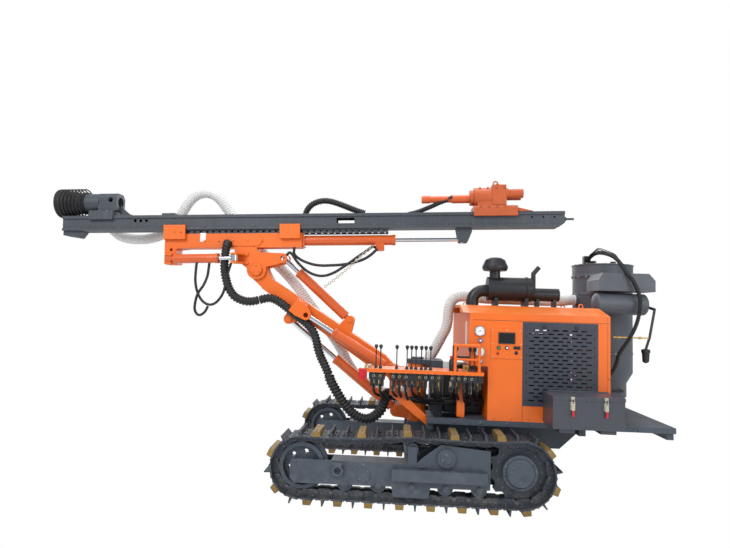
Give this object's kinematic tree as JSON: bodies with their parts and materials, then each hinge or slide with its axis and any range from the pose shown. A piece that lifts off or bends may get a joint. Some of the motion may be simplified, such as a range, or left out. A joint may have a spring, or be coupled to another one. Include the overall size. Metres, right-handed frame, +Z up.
{
  "type": "crawler drilling rig",
  "caption": "Crawler drilling rig with a swinging boom, a tilting feed mast with a sliding power head, an engine hood, a lever deck and a dust collector.",
  "frame": {"origin": "on the ground under the middle of the machine's overall box", "axes": "+X to the rear of the machine, +Y to its right side, +Z up"},
  "size_m": [6.2022, 2.139, 3.0371],
  "materials": {
    "orange_paint": "semi-gloss orange enamel",
    "roof_paint": "semi-gloss orange enamel, lightly dusted",
    "head_paint": "matt orange enamel, worn",
    "cylinder_paint": "orange-red enamel",
    "frame_paint": "matt dark grey enamel",
    "track_steel": "rolled steel with worn edges",
    "grille_paint": "satin dark blue-grey",
    "mast_paint": "matt grey enamel",
    "box_paint": "satin dark grey enamel",
    "collector_paint": "satin grey enamel",
    "black_parts": "matt black",
    "engine_iron": "painted iron",
    "chrome_rod": "hard chrome",
    "rubber": "black rubber",
    "spindle_steel": "oiled turned steel"
  },
  "bodies": {
    "rig": {"chassis_frame": "frame_paint", "track_frame_left": "frame_paint", "track_frame_right": "frame_paint", "track_left": "track_steel", "track_right": "track_steel", "idlers": "frame_paint", "sprockets": "track_steel", "engine_block": "engine_iron", "hood_front": "orange_paint", "hood_left": "orange_paint", "hood_right": "orange_paint", "hood_rear": "orange_paint", "hood_roof": "roof_paint", "grille_left": "grille_paint", "grille_right": "grille_paint", "control_panel": "black_parts", "air_filter": "black_parts", "muffler": "black_parts", "dust_collector": "collector_paint", "collector_fan": "collector_paint", "air_tank": "collector_paint", "toolbox": "box_paint", "valve_deck": "orange_paint", "valve_banks": "black_parts", "levers": "black_parts"},
    "lid": {"toolbox_lid": "box_paint"},
    "post": {"boom_post": "orange_paint"},
    "boom": {"boom": "orange_paint"},
    "lift_barrel": {"lift_barrel": "cylinder_paint"},
    "lift_rod": {"lift_rod": "chrome_rod"},
    "side_barrel": {"side_barrel": "cylinder_paint"},
    "side_rod": {"side_rod": "chrome_rod"},
    "head": {"head_bracket": "orange_paint"},
    "tilt_barrel": {"tilt_barrel": "cylinder_paint"},
    "tilt_rod": {"tilt_rod": "chrome_rod"},
    "carrier": {"carrier": "orange_paint", "slide_barrel": "cylinder_paint"},
    "swing_barrel": {"swing_barrel": "cylinder_paint"},
    "swing_rod": {"swing_rod": "chrome_rod"},
    "mast": {"mast": "mast_paint", "slide_rod": "chrome_rod", "centralizer": "mast_paint", "dust_boot": "rubber"},
    "power_head": {"power_head": "head_paint"},
    "spindle": {"spindle": "spindle_steel"}
  },
  "joints": [
    {"name": "boom_swing", "type": "hinge", "parent": "rig", "child": "post", "pos_m": [0.77, -0.23, 0.9], "axis": [0, 0, 1], "range_deg": [-35, 15]},
    {"name": "boom_lift", "type": "hinge", "parent": "post", "child": "boom", "pos_m": [0.57, -0.23, 1.051], "axis": [0, 1, 0], "range_deg": [-50, 10]},
    {"name": "lift_barrel_turn", "type": "hinge", "parent": "post", "child": "lift_barrel", "pos_m": [0.565, -0.23, 0.706], "axis": [0, 1, 0], "range_deg": [-45.9, 9.34]},
    {"name": "lift_rod_slide", "type": "slide", "parent": "lift_barrel", "child": "lift_rod", "axis": [-0.7867, 0, 0.6173], "range_m": [-0.278, 0.0564]},
    {"name": "side_barrel_turn", "type": "hinge", "parent": "post", "child": "side_barrel", "pos_m": [0.485, -0.38, 1.13], "axis": [0, 1, 0], "range_deg": [-54.9, 11.14]},
    {"name": "side_rod_slide", "type": "slide", "parent": "side_barrel", "child": "side_rod", "axis": [-0.8582, 0, 0.5134], "range_m": [-0.0118, 0.055]},
    {"name": "beam_tilt", "type": "hinge", "parent": "boom", "child": "head", "pos_m": [-0.8971, -0.23, 2.07828], "axis": [0, -1, 0], "range_deg": [-5, 90]},
    {"name": "tilt_barrel_turn", "type": "hinge", "parent": "boom", "child": "tilt_barrel", "pos_m": [0.07215, -0.23, 1.59004], "axis": [0, -1, 0], "range_deg": [-0.43, 4.34]},
    {"name": "tilt_rod_slide", "type": "slide", "parent": "tilt_barrel", "child": "tilt_rod", "axis": [-0.752, 0, 0.6592], "range_m": [-0.0243, 0.4212]},
    {"name": "beam_swing", "type": "hinge", "parent": "head", "child": "carrier", "pos_m": [-1.02295, -0.23, 2.37467], "axis": [-0.0297, 0, 0.9996], "range_deg": [-30, 40]},
    {"name": "swing_barrel_turn", "type": "hinge", "parent": "carrier", "child": "swing_barrel", "pos_m": [-1.80497, -0.36, 2.16138], "axis": [-0.0297, 0, 0.9996], "range_deg": [-4.01, 5.28]},
    {"name": "swing_rod_slide", "type": "slide", "parent": "swing_barrel", "child": "swing_rod", "axis": [0.9947, -0.0988, 0.0295], "range_m": [-0.1242, 0.0934]},
    {"name": "mast_slide", "type": "slide", "parent": "carrier", "child": "mast", "axis": [0.9996, 0, 0.0297], "range_m": [-0.6, 0.22]},
    {"name": "feed", "type": "slide", "parent": "mast", "child": "power_head", "axis": [0.9996, 0, 0.0297], "range_m": [-3.05, 0]},
    {"name": "spindle_turn", "type": "hinge", "parent": "power_head", "child": "spindle", "pos_m": [1.08051, -0.23, 2.86229], "axis": [0.9996, 0, 0.0297], "continuous": true},
    {"name": "lid_hinge", "type": "hinge", "parent": "rig", "child": "lid", "pos_m": [2.178, -0.773, 1.0285], "axis": [-1, 0, 0], "range_deg": [0, 85]}
  ],
  "couplings": [
    {"joint": "lift_barrel_turn", "follows": "boom_lift", "ratio": 0.914},
    {"joint": "lift_rod_slide", "follows": "boom_lift", "m_per_rad": 0.3174},
    {"joint": "side_barrel_turn", "follows": "boom_lift", "ratio": 1.094},
    {"joint": "side_rod_slide", "follows": "boom_lift", "m_per_rad": -0.0619},
    {"joint": "tilt_barrel_turn", "follows": "beam_tilt", "ratio": 0.046},
    {"joint": "tilt_rod_slide", "follows": "beam_tilt", "m_per_rad": 0.2675},
    {"joint": "swing_barrel_turn", "follows": "beam_swing", "ratio": 0.127},
    {"joint": "swing_rod_slide", "follows": "beam_swing", "m_per_rad": -0.1764}
  ]
}
